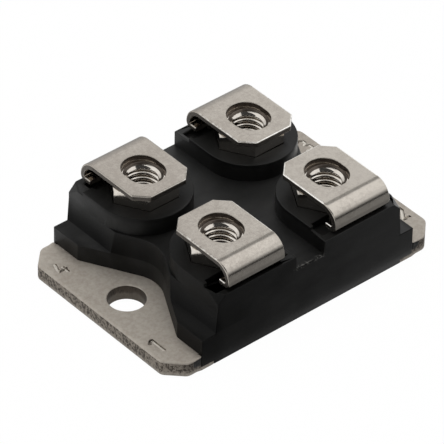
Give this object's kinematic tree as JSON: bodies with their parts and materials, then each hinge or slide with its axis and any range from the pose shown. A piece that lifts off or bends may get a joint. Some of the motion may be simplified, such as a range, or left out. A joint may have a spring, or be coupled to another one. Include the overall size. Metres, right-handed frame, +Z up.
{
  "type": "igbt power module",
  "caption": "Isolated power switch module with a metal baseplate, a black moulded housing, and bent screw terminals over captive nuts.",
  "frame": {"origin": "middle of the baseplate's underside", "axes": "+X along the plate's length, +Y across it from the row of terminals 1 and 2 to the row of 3 and 4, +Z up"},
  "size_m": [0.0382, 0.025, 0.0119],
  "materials": {
    "plate": "satin nickel plate on copper",
    "moulding": "black moulded, fine matt",
    "terminal": "satin nickel plate on copper",
    "nut": "plated steel",
    "solder": "dull solder",
    "copper": "bare copper",
    "ceramic": "fired ceramic",
    "silicon": "polished chip",
    "bond_wire": "drawn wire",
    "gel": "clear soft gel"
  },
  "bodies": {
    "root": {"baseplate": "plate", "housing": "moulding", "emitter_terminal_1": "terminal", "gate_terminal_2": "terminal", "collector_terminal_3": "terminal", "emitter_terminal_4": "terminal", "terminal_nuts": "nut", "substrate_solder": "solder", "substrate_back_copper": "copper", "substrate_ceramic": "ceramic", "collector_track": "copper", "emitter_track": "copper", "gate_track": "copper", "igbt_solder": "solder", "diode_solder": "solder", "igbt_chip": "silicon", "diode_chip": "silicon", "emitter_bond_wires": "bond_wire", "diode_bond_wires": "bond_wire", "gate_bond_wire": "bond_wire", "gel_fill": "gel"}
  },
  "joints": []
}
